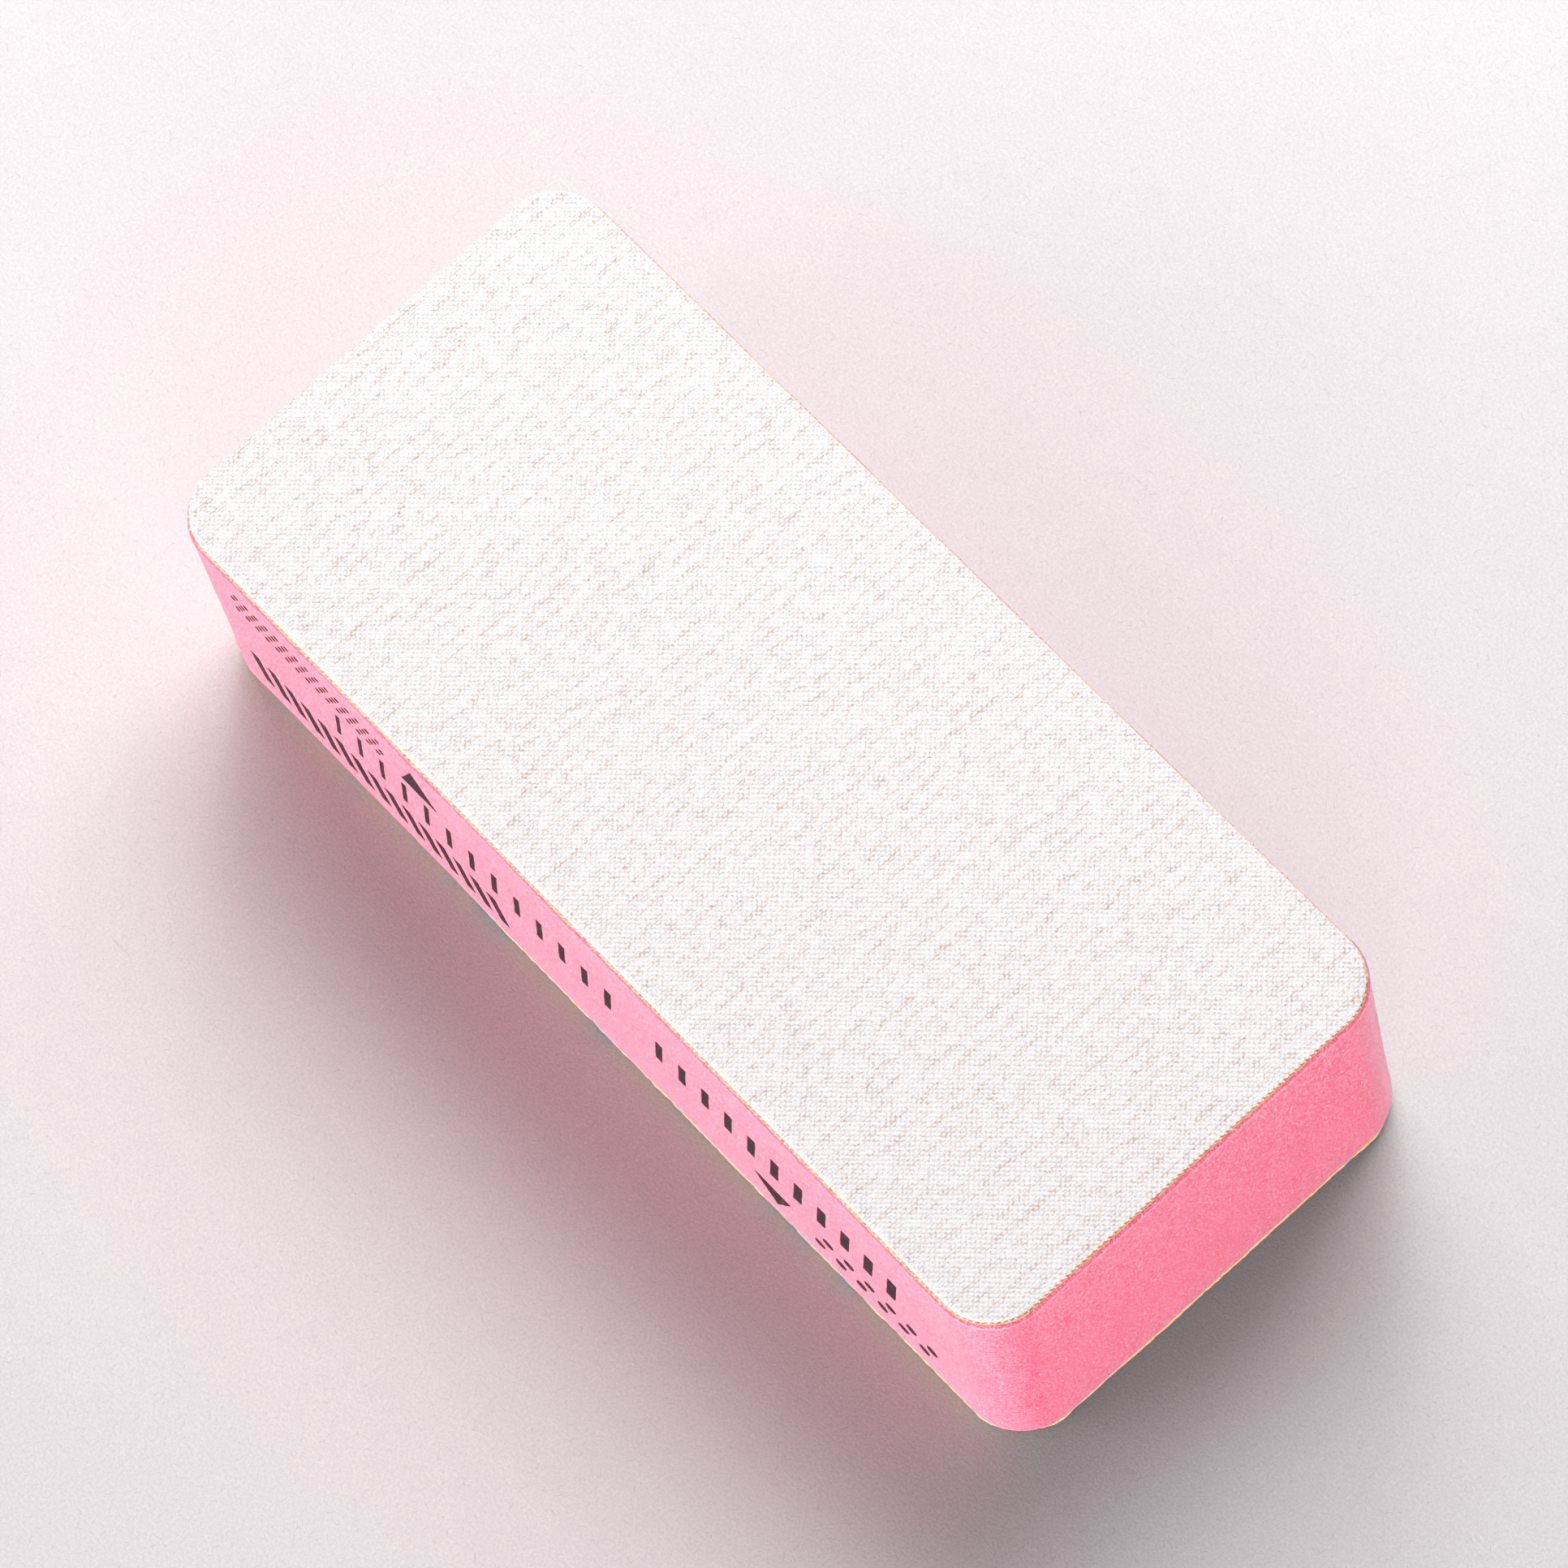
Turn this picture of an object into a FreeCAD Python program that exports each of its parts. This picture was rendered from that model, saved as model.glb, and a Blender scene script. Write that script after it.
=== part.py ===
import FreeCAD, Part
import math
import os
from FreeCAD import Vector

# Two-sided hand buffing block: a die-cut foam core with a fine finishing cloth bonded to its
# top and a coarse grit facing bonded to its underside. Millimetres, +Z up, X along the block.
# The origin is the centre of the underside, where the block rests.

# ---- driving dimensions ----
block_length = 92.0
block_width = 40.3
block_height = 25.4
corner_radius = 4.5

# The foam stands proud of the facings all round.
foam_proud = 0.40

# Layers of the finishing side, from the foam outwards.
top_adhesive_thickness = 0.12
top_cloth_thickness = 0.34
polish_coat_thickness = 0.06

# Layers of the rough side, from the foam outwards.
bottom_adhesive_thickness = 0.12
backing_thickness = 0.50
resin_coat_thickness = 0.07
grit_coat_thickness = 0.26

# Cut wall of the foam: distances outside the facing's outline, and heights.
lip_proud = 0.24
lip_drop = 0.40
waist_proud = 0.23
foot_proud = foam_proud
foot_rise = 0.90
foot_edge_proud = 0.28

# Outlines of the bonded layers, outside (+) or inside (-) the facing's outline.
adhesive_proud = 0.06
polish_coat_inset = -0.05
backing_proud = 0.30
grit_proud = 0.24

# Printed marks on one long side.
ink_thickness = 0.05

# ---- derived sizes ----
facing_length = block_length - 2 * foam_proud
facing_width = block_width - 2 * foam_proud
core_bottom = bottom_adhesive_thickness + backing_thickness + resin_coat_thickness + grit_coat_thickness
core_top = block_height - top_adhesive_thickness - top_cloth_thickness - polish_coat_thickness

os.makedirs("parts", exist_ok=True)


def save(shape, node):
    """Writes one sub-part, and stops if it isn't a sound solid."""
    if not shape.isValid() or shape.Volume <= 0:
        raise ValueError(node + " is not a sound solid")
    shape.exportStep("parts/" + node + ".step")
    print(node, "volume", round(shape.Volume, 2), "solids", len(shape.Solids))


def rounded_outline(proud, height):
    """The facing's rounded rectangle, grown by proud, as a wire at a height."""
    half_x = facing_length / 2 + proud
    half_y = facing_width / 2 + proud
    radius = corner_radius + proud
    slant = radius * math.sqrt(0.5)
    edges = []
    for turn in range(4):
        reach, side = (half_x, half_y) if turn % 2 == 0 else (half_y, half_x)
        angle = 90 * turn
        start = Vector(reach, -(side - radius), height)
        end = Vector(reach, side - radius, height)
        middle = Vector(reach - radius + slant, side - radius + slant, height)
        leave = Vector(reach - radius, side, height)
        for edge in (Part.LineSegment(start, end).toShape(), Part.Arc(end, middle, leave).toShape()):
            edge.rotate(Vector(0, 0, 0), Vector(0, 0, 1), angle)
            edges.append(edge)
    return Part.Wire(edges)


def layer(proud, bottom, thickness):
    """One flat bonded layer."""
    return Part.Face(rounded_outline(proud, bottom)).extrude(Vector(0, 0, thickness))


def wall_points(extra):
    """Points of the foam's cut wall from top to bottom, as (distance outside the facing, height)."""
    middle = (core_top + core_bottom) / 2
    return {
        "shoulder": (extra, core_top),
        "shoulder_round": (lip_proud * 0.72 + extra, core_top - lip_drop * 0.26),
        "lip": (lip_proud + extra, core_top - lip_drop),
        "waist": (waist_proud + extra, middle),
        "foot": (foot_proud + extra, core_bottom + foot_rise),
        "foot_edge": (foot_edge_proud + extra, core_bottom),
    }


def wall_curve(base, extra=0.0):
    """Edges of the cut wall in the XZ plane, from its top edge down, with base as the facing's edge."""
    at = {name: Vector(base + proud, 0, height) for name, (proud, height) in wall_points(extra).items()}
    return [
        Part.Arc(at["shoulder"], at["shoulder_round"], at["lip"]).toShape(),
        Part.Arc(at["lip"], at["waist"], at["foot"]).toShape(),
        Part.LineSegment(at["foot"], at["foot_edge"]).toShape(),
    ]


def closed_section(edges, inner):
    """A face between a wall curve and the upright line at x = inner."""
    top = edges[0].Vertexes[0].Point
    bottom = edges[-1].Vertexes[-1].Point
    inner_top = Vector(inner, 0, top.z)
    inner_bottom = Vector(inner, 0, bottom.z)
    closing = [
        Part.LineSegment(bottom, inner_bottom).toShape(),
        Part.LineSegment(inner_bottom, inner_top).toShape(),
        Part.LineSegment(inner_top, top).toShape(),
    ]
    return Part.Face(Part.Wire(edges + closing))


def foam_core():
    """The die-cut foam: a middle block, four rims along its sides and four turned corners."""
    half_x = facing_length / 2 - corner_radius
    half_y = facing_width / 2 - corner_radius
    section = closed_section(wall_curve(corner_radius), 0)
    pieces = [
        Part.makeBox(2 * half_x, 2 * half_y, core_top - core_bottom, Vector(-half_x, -half_y, core_bottom))
    ]
    for turn in range(4):
        reach, side = (half_x, half_y) if turn % 2 == 0 else (half_y, half_x)
        rim = section.extrude(Vector(0, 2 * side, 0))
        rim.translate(Vector(reach, -side, 0))
        corner = section.revolve(Vector(0, 0, 0), Vector(0, 0, 1), 90)
        corner.translate(Vector(reach, side, 0))
        for piece in (rim, corner):
            piece.rotate(Vector(0, 0, 0), Vector(0, 0, 1), 90 * turn)
            pieces.append(piece)
    core = pieces[0].multiFuse(pieces[1:]).removeSplitter()
    return core.Solids[0]


def ink_sheet():
    """A film of ink over the whole straight run of the printed side, which the marks are cut from."""
    outer = wall_curve(facing_width / 2, ink_thickness)
    inner = wall_curve(facing_width / 2)
    top = Part.LineSegment(inner[0].Vertexes[0].Point, outer[0].Vertexes[0].Point).toShape()
    bottom = Part.LineSegment(outer[-1].Vertexes[-1].Point, inner[-1].Vertexes[-1].Point).toShape()
    film = Part.Face(Part.Wire(outer + [bottom] + inner[::-1] + [top]))
    run = facing_length - 2 * corner_radius
    sheet = film.extrude(Vector(0, run, 0))
    sheet.translate(Vector(0, -run / 2, 0))
    sheet.rotate(Vector(0, 0, 0), Vector(0, 0, 1), -90)
    return sheet


def slab(corners):
    """A prism through the printed wall, from corners given as (x, z)."""
    points = [Vector(x, -block_width / 2 - 2, z) for x, z in corners]
    return Part.Face(Part.makePolygon(points + points[:1])).extrude(Vector(0, 4, 0))


def dot(x, z, diameter):
    """A round peg through the printed wall."""
    return Part.makeCylinder(diameter / 2, 4, Vector(x, -block_width / 2 - 2, z), Vector(0, 1, 0))


def pointer(x, z, width, height):
    """A triangle whose base is centred on (x, z) and which points up, or down if height is negative."""
    return slab([(x - width / 2, z), (x + width / 2, z), (x, z + height)])


def bar(x, z, width, height, lean):
    """A bar that stands on (x, z), its left foot, and leans by lean at its top."""
    return slab([(x, z), (x + width, z), (x + width + lean, z + height), (x + lean, z + height)])


def grain_swatch(left, bottom, columns, rows, pitch, diameter):
    """A staggered field of dots."""
    pegs = []
    for row in range(rows):
        shift = pitch / 2 if row % 2 else 0
        for column in range(columns):
            pegs.append(dot(left + shift + column * pitch, bottom + row * pitch * 0.9, diameter))
    return pegs


def printed(pegs, sheet):
    """The ink that falls inside the pegs, as one group of separate films."""
    films = []
    for peg in pegs:
        films.extend(sheet.common(peg).Solids)
    return Part.Compound(films)


def finish_mark():
    """Pointer towards the finishing side, with a swatch of fine grain."""
    return [pointer(-18.0, 17.7, 4.0, 4.3)] + grain_swatch(-38.8, 18.1, 15, 4, 1.16, 0.56)


def rough_mark():
    """Pointer towards the rough side, with a swatch of coarse grain."""
    return [pointer(19.7, 7.0, 4.0, -3.5)] + grain_swatch(24.6, 4.7, 6, 2, 2.3, 1.15)


def scale_row():
    """Two runs of leaning strokes that widen from fine to coarse."""
    pegs = []
    strokes = 24
    for number in range(strokes):
        share = number / (strokes - 1)
        gap = 3.2 if number >= 13 else 0.0
        pegs.append(bar(-29.0 + 2.55 * number + gap, 11.0, 0.42 + 0.55 * share, 4.9, 0.9))
    return pegs


def bold_row():
    """A close run of heavier leaning strokes."""
    return [bar(-39.0 + 1.96 * number, 4.1, 0.95, 4.1, -0.9) for number in range(15)]


# ---- the rough side, from the ground up ----
save(layer(grit_proud, 0.0, grit_coat_thickness), "bottom_grit_coat")
save(layer(grit_proud, grit_coat_thickness, resin_coat_thickness), "bottom_resin_coat")
save(layer(backing_proud, grit_coat_thickness + resin_coat_thickness, backing_thickness), "bottom_backing")
save(layer(backing_proud, core_bottom - bottom_adhesive_thickness, bottom_adhesive_thickness),
     "bottom_adhesive")

# ---- the foam ----
save(foam_core(), "foam_core")

# ---- the finishing side ----
save(layer(adhesive_proud, core_top, top_adhesive_thickness), "top_adhesive")
save(layer(0.0, core_top + top_adhesive_thickness, top_cloth_thickness), "top_cloth")
save(layer(polish_coat_inset, block_height - polish_coat_thickness, polish_coat_thickness),
     "top_polish_coat")

# ---- the printed marks ----
ink = ink_sheet()
save(printed(finish_mark(), ink), "print_finish_mark")
save(printed(scale_row(), ink), "print_scale_row")
save(printed(bold_row(), ink), "print_bold_row")
save(printed(rough_mark(), ink), "print_rough_mark")
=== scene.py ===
import math

import bpy
import numpy as np
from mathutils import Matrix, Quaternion, Vector, geometry, noise
from mathutils.bvhtree import BVHTree


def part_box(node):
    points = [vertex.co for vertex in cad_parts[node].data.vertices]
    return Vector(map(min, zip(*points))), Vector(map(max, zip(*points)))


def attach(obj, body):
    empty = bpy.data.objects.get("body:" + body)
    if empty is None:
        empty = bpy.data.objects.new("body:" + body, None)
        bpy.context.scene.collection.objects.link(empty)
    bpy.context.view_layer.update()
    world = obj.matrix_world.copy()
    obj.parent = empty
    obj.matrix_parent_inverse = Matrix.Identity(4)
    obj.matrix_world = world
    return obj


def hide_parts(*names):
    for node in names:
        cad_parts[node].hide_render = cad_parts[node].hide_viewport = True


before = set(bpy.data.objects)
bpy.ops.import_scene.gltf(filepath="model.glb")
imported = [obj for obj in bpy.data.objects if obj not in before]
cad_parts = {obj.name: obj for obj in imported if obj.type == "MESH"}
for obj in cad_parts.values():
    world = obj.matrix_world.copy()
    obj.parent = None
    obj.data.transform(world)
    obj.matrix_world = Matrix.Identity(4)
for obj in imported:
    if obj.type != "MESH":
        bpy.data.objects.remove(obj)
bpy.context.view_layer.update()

MM = 0.001


# ---- Foam core ----
# A block of pink closed-cell foam, die-cut from thick sheet. The knife leaves a shoulder under the
# top facing, a waist that draws in, a flared foot, and a wall of cut cells with a fine dry grain.

core_low, core_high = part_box("foam_core")
cloth_low, cloth_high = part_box("top_cloth")
facing_half_length = cloth_high.x
facing_half_width = cloth_high.y
facing_corner = 4.5 * MM
foot_proud = core_high.x - facing_half_length
foot_edge_proud = 0.28 * MM
foot_rise = 0.90 * MM
lip_proud = 0.24 * MM
lip_drop = 0.40 * MM
waist_sag = 0.08 * MM
rim_depth = 1.5 * MM
cut_step = 0.30 * MM
knife_marks = ((0.050, 9.0, 1), (0.026, 2.2, 2), (0.016, 0.7, 3))  # depth and breadth in mm, seed


def die_line(step):
    """Points round the facing's outline, about a step apart, with the way each one faces."""
    run_x = facing_half_length - facing_corner
    run_y = facing_half_width - facing_corner
    points, outward = [], []
    for turn in range(4):
        reach, run = (facing_half_length, run_y) if turn % 2 == 0 else (facing_half_width, run_x)
        start_angle = turn * math.pi / 2
        facing = np.array([math.cos(start_angle), math.sin(start_angle)])
        along = np.array([-facing[1], facing[0]])
        straight_count = round(2 * run / step)
        for number in range(straight_count):
            points.append(facing * reach + along * (2 * run * number / straight_count - run))
            outward.append(facing)
        centre = facing * (reach - facing_corner) + along * run
        arc_count = round(facing_corner * math.pi / 2 / step)
        for number in range(arc_count):
            angle = start_angle + math.pi / 2 * number / arc_count
            direction = np.array([math.cos(angle), math.sin(angle)])
            points.append(centre + direction * facing_corner)
            outward.append(direction)
    return np.array(points), np.array(outward)


def unevenness(places, scale, seed):
    """Smooth noise from -1 to 1 at each place, with features about a scale across."""
    shift = Vector((seed * 7.31, seed * 3.17, seed * 5.93))
    return np.array([noise.noise(Vector(place) / scale + shift) for place in places])


def ring(points, outward, proud, height):
    """One loop of the outline, moved outwards by proud and set at a height."""
    flat = points + outward * np.reshape(proud, (-1, 1))
    return np.column_stack([flat, np.broadcast_to(height, len(flat))])


def stack_of_rings(name, rings):
    """A skin over loops that follow each other from the bottom up, closed by a fan at each end."""
    count = len(rings[0])
    vertices = np.concatenate(rings).tolist()
    faces = []
    for level in range(len(rings) - 1):
        for number in range(count):
            here = level * count + number
            beside = level * count + (number + 1) % count
            faces.append((here, beside, beside + count, here + count))
    last = (len(rings) - 1) * count
    vertices.append(rings[0].mean(0).tolist())
    vertices.append(rings[-1].mean(0).tolist())
    for number in range(count):
        beside = (number + 1) % count
        faces.append((beside, number, len(vertices) - 2))
        faces.append((last + number, last + beside, len(vertices) - 1))
    mesh = bpy.data.meshes.new(name)
    mesh.from_pydata(vertices, [], faces)
    mesh.update()
    piece = bpy.data.objects.new(name, mesh)
    bpy.context.scene.collection.objects.link(piece)
    return piece


def wall_proud(height, outward):
    """How far the cut wall stands outside the facing's outline at a height, on sides that face outward.

    The knife dragged the lip out most at the two ends and least along the +Y side.
    """
    drag = np.where(outward > 0, [1.0, 0.75], [1.05, 0.85])
    lip = lip_proud * (drag * outward**2).sum(1)
    drop = core_high.z - height
    rise = height - core_low.z
    wall = core_high.z - core_low.z - lip_drop - foot_rise
    share = np.clip((drop - lip_drop) / wall, 0, 1)
    middle = lip + (foot_proud - lip) * share - 4 * waist_sag * share * (1 - share)
    fall = np.clip(drop / lip_drop, 0, 1)
    shoulder = lip * (0.65 * fall + 0.35 * np.sqrt(1 - (1 - fall) ** 2))
    foot_share = np.sqrt(1 - (1 - np.clip(rise / foot_rise, 0, 1)) ** 2)
    foot = foot_edge_proud + (foot_proud - foot_edge_proud) * foot_share
    return np.where(drop < lip_drop, shoulder, np.where(rise < foot_rise, foot, middle))


def cut_foam_rings():
    """Loops of the foam's cut wall, with the small dents, ridge and ragged edges that the knife leaves."""
    points, outward = die_line(cut_step)
    wall = core_high.z - core_low.z
    edge_levels = np.array([0.0, 0.06, 0.14, 0.26, 0.40, 0.56, 0.74, 0.94]) * MM
    middle_levels = np.linspace(1.2 * MM, wall - 1.2 * MM, 68)
    levels = np.concatenate([edge_levels, middle_levels, (wall - edge_levels)[::-1]])
    rings = []
    for level in levels:
        height = core_low.z + level
        drop = wall - level
        flat = ring(points, outward, 0, height)
        dents = sum(
            depth * MM * unevenness(flat, breadth * MM, seed) for depth, breadth, seed in knife_marks
        )
        ridge_drop = (0.42 + 0.12 * unevenness(flat, 14 * MM, 4)) * MM
        dents += 0.030 * MM * np.exp(-((drop - ridge_drop) / (0.15 * MM)) ** 2)
        fade = min(1.0, drop / (0.3 * MM), level / (0.2 * MM) + 0.3)
        proud = wall_proud(np.full(len(flat), height), outward) + dents * fade
        rings.append(ring(points, outward, np.minimum(proud, foot_proud), height))
    inner = ring(points, outward, -rim_depth, core_low.z)
    inner_top = ring(points, outward, -rim_depth, core_high.z)
    return [inner] + rings + [inner_top]


def smooth(piece):
    """Shades a piece smooth."""
    piece.data.polygons.foreach_set("use_smooth", [True] * len(piece.data.polygons))
    piece.data.update()


def add(tree, kind, inputs=None, **settings):
    """Adds a node, sets its fields, then links or sets its inputs."""
    made = tree.nodes.new(kind)
    for field, value in settings.items():
        setattr(made, field, value)
    for socket, value in (inputs or {}).items():
        if isinstance(value, bpy.types.NodeSocket):
            tree.links.new(value, made.inputs[socket])
        else:
            made.inputs[socket].default_value = value
    return made


def maths(tree, operation, first, second=0.0):
    """The result of a sum, product or the like of two values."""
    return add(tree, "ShaderNodeMath", {0: first, 1: second}, operation=operation).outputs[0]


def between(tree, value, low, high):
    """0 below low, 1 above high, and a smooth step from one to the other."""
    sockets = {"Value": value, "From Min": low, "From Max": high}
    return add(tree, "ShaderNodeMapRange", sockets, interpolation_type="SMOOTHSTEP").outputs[0]


def tinted(tree, amount, first, second):
    """The first colour, turning to the second by an amount."""
    sockets = {"Factor": amount, "A": first, "B": second}
    return add(tree, "ShaderNodeMix", sockets, data_type="RGBA").outputs["Result"]


def speckle(tree, place, size, detail=2.0, roughness=0.5):
    """Noise with features about a size across."""
    sockets = {"Vector": place, "Scale": 1 / size, "Detail": detail, "Roughness": roughness}
    return add(tree, "ShaderNodeTexNoise", sockets).outputs[0]


def new_effect(name, inputs, outputs):
    """An empty group of shader nodes with named sockets. Returns it with its input and output nodes."""
    tree = bpy.data.node_groups.new(name, "ShaderNodeTree")
    for label, value in inputs.items():
        kind = "NodeSocketVector" if value is None else "NodeSocketFloat"
        socket = tree.interface.new_socket(label, in_out="INPUT", socket_type=kind)
        if value is not None:
            socket.default_value = value
    for label in outputs:
        tree.interface.new_socket(label, in_out="OUTPUT", socket_type="NodeSocketFloat")
    return tree, tree.nodes.new("NodeGroupInput"), tree.nodes.new("NodeGroupOutput")


def new_finish(name, roughness, **constants):
    """A material with a Principled shader. Returns the material, its tree and the shader."""
    material = bpy.data.materials.new(name)
    material.use_nodes = True
    tree = material.node_tree
    shader = tree.nodes["Principled BSDF"]
    shader.inputs["Roughness"].default_value = roughness
    for socket, value in constants.items():
        shader.inputs[socket.replace("_", " ")].default_value = value
    return material, tree, shader


def colour(red, green, blue):
    """A colour given as it looks on a screen, from 0 to 255, as the shader wants it."""
    levels = [channel / 255 for channel in (red, green, blue)]
    return [v / 12.92 if v <= 0.04045 else ((v + 0.055) / 1.055) ** 2.4 for v in levels] + [1.0]


# Cut closed-cell foam: pits where cells were opened, a slow mottle and pale specks. The ink that
# lies over the foam shares them.
cell_grain, grain_in, grain_out = new_effect(
    "cut_cell_grain", {"Place": None, "Cell Size": 0.22 * MM}, ["Mottle", "Specks", "Height"]
)
cells = add(cell_grain, "ShaderNodeTexVoronoi", {"Vector": grain_in.outputs["Place"]})
cell_grain.links.new(
    maths(cell_grain, "DIVIDE", 1.0, grain_in.outputs["Cell Size"]), cells.inputs["Scale"]
)
fine = speckle(cell_grain, grain_in.outputs["Place"], 0.13 * MM, 3.0, 0.6)
pits = between(cell_grain, maths(cell_grain, "SUBTRACT", 1.0, cells.outputs["Distance"]), 0.45, 0.95)
slow = speckle(cell_grain, grain_in.outputs["Place"], 0.9 * MM, 3.0, 0.62)
specks = between(cell_grain, speckle(cell_grain, grain_in.outputs["Place"], 0.28 * MM, 1.0), 0.70, 0.76)
height = maths(cell_grain, "SUBTRACT", fine, maths(cell_grain, "MULTIPLY", pits, 0.45))
cell_grain.links.new(between(cell_grain, slow, 0.32, 0.68), grain_out.inputs["Mottle"])
cell_grain.links.new(specks, grain_out.inputs["Specks"])
cell_grain.links.new(height, grain_out.inputs["Height"])


def foam_finish():
    """Pink foam: grainy and dry. Painted shade makes it redder on the shoulder and down the wall, a painted
    highlight makes it pale along the ridge, and painted light turns it greyer near the foot.
    """
    material, tree, shader = new_finish(
        "pink_foam", 0.9, Sheen_Weight=0.95, Sheen_Roughness=0.48, Subsurface_Weight=0.10,
        Subsurface_Scale=0.5 * MM, Specular_IOR_Level=0.2,
    )
    shader.inputs["Subsurface Radius"].default_value = (1.0, 0.35, 0.45)
    shader.inputs["Sheen Tint"].default_value = colour(255, 206, 220)
    place = add(tree, "ShaderNodeTexCoord").outputs["Object"]
    level = add(tree, "ShaderNodeSeparateXYZ", {0: place}).outputs["Z"]
    grain = add(tree, "ShaderNodeGroup", {"Place": place}, node_tree=cell_grain).outputs
    streaks = add(tree, "ShaderNodeMapping", {"Vector": place, "Scale": (1.0, 1.0, 0.22)}).outputs[0]
    streak = between(tree, speckle(tree, streaks, 1.8 * MM, 3.0, 0.6), 0.46, 0.66)
    shade = tinted(tree, grain["Mottle"], colour(255, 92, 130), colour(255, 114, 148))
    shade = tinted(tree, maths(tree, "MULTIPLY", streak, 0.55), shade, colour(250, 74, 110))
    fine = speckle(tree, place, 0.17 * MM, 2.0, 0.7)
    shade = tinted(tree, between(tree, fine, 0.51, 0.37), shade, colour(236, 44, 84))
    raised = between(tree, fine, 0.51, 0.62)
    shade = tinted(tree, maths(tree, "MULTIPLY", raised, 0.90), shade, colour(255, 178, 200))
    waver = maths(tree, "MULTIPLY", speckle(tree, place, 5 * MM), 0.16 * MM)
    drop = maths(tree, "ADD", maths(tree, "SUBTRACT", core_high.z, level), waver)
    # Deeper red on the shoulder under the facing: painted shade from the facing's overhang, over foam the
    # knife crushed denser.
    band = maths(tree, "MULTIPLY", between(tree, drop, 0.50 * MM, 0.30 * MM),
                 between(tree, drop, 0.06 * MM, 0.16 * MM))
    shade = tinted(tree, maths(tree, "MULTIPLY", band, 0.32), shade, colour(236, 84, 112))
    # Painted highlight: the wall is paler along the knife's ridge, with pale flecks of rubbed foam on it.
    ridge = maths(tree, "MULTIPLY", between(tree, drop, 0.38 * MM, 0.52 * MM),
                  between(tree, drop, 1.00 * MM, 0.62 * MM))
    fleck = between(tree, speckle(tree, place, 0.30 * MM, 2.0, 0.6), 0.58, 0.70)
    shade = tinted(tree, maths(tree, "MULTIPLY", ridge, 0.55), shade, colour(255, 176, 194))
    shade = tinted(tree, maths(tree, "MULTIPLY", ridge, fleck), shade, colour(255, 222, 226))
    # Painted lighting down the wall: darker and redder from 23 mm down, greyer pink from 7 mm down.
    painted_low_wall_shade = between(tree, level, 23.0 * MM, 14.0 * MM)
    shade = tinted(tree, maths(tree, "MULTIPLY", painted_low_wall_shade, 0.16), shade, colour(244, 50, 96))
    foot = between(tree, level, 7.0 * MM, 1.2 * MM)
    shade = tinted(tree, maths(tree, "MULTIPLY", foot, 0.25), shade, colour(226, 122, 150))
    rim = between(tree, level, core_low.z + 0.30 * MM, core_low.z + 0.12 * MM)
    shade = tinted(tree, maths(tree, "MULTIPLY", rim, 0.7), shade, colour(255, 184, 160))
    shade = tinted(tree, maths(tree, "MULTIPLY", grain["Specks"], 0.8), shade, colour(255, 226, 232))
    tree.links.new(shade, shader.inputs["Base Color"])
    bump = add(tree, "ShaderNodeBump", {"Height": grain["Height"], "Strength": 0.9, "Distance": 0.08 * MM})
    tree.links.new(bump.outputs[0], shader.inputs["Normal"])
    return material


foam = stack_of_rings("foam_core_skin", cut_foam_rings())
smooth(foam)
foam.data.materials.append(foam_finish())
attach(foam, "root")
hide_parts("foam_core")


# ---- Printed marks ----
# Black pad-printed ink on one long side: a pointer to each working face with a swatch of that
# face's grain, a row of strokes that coarsen, and a heavy row. Thin films that follow the foam.

ink_film = 0.03 * MM
spot_pitch = 0.26  # this and the next three are in mm, as the marks are
edge_step = 0.14
edge_wander = 0.06
edge_grain = 0.22
noise.seed_set(4)  # noise_vector differs from run to run without it
foam_surface = BVHTree.FromObject(foam, bpy.context.evaluated_depsgraph_get())


def pointer(x, z, width, tall):
    """Corners of a triangle whose base is centred on (x, z), in millimetres."""
    return [(x - width / 2, z), (x + width / 2, z), (x, z + tall)]


def bar(x, z, width, tall, lean):
    """Corners of a leaning bar that stands on (x, z), in millimetres."""
    return [(x, z), (x + width, z), (x + width + lean, z + tall), (x + lean, z + tall)]


def dot(x, z, across):
    """A round dot as sixteen corners, in millimetres."""
    turns = [number * math.pi / 8 for number in range(16)]
    return [(x + across / 2 * math.cos(turn), z + across / 2 * math.sin(turn)) for turn in turns]


def swatch(left, bottom, columns, rows, pitch, across):
    """A staggered field of dots, in millimetres."""
    return [
        dot(left + pitch / 2 * (row % 2) + column * pitch, bottom + row * pitch * 0.9, across)
        for row in range(rows)
        for column in range(columns)
    ]


def ragged_outline(corners):
    """The corners' outline in short steps, with the wavering edge of ink on cut cells, in millimetres."""
    outline = []
    for first, second in zip(corners, corners[1:] + corners[:1]):
        start, end = np.array(first), np.array(second)
        pieces = max(1, round(float(np.linalg.norm(end - start)) / edge_step))
        for number in range(pieces):
            outline.append(start + (end - start) * number / pieces)
    wavering = [noise.noise_vector(Vector((x, z, 3.0)) / edge_grain) for x, z in outline]
    return [point + edge_wander * np.array(shift)[:2] for point, shift in zip(outline, wavering)]


def inside(point, outline):
    """True if a point lies within an outline."""
    x, z = point
    crossings = 0
    for (x0, z0), (x1, z1) in zip(outline, outline[1:] + outline[:1]):
        if (z0 > z) != (z1 > z) and x < x0 + (z - z0) * (x1 - x0) / (z1 - z0):
            crossings += 1
    return crossings % 2 == 1


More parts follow.
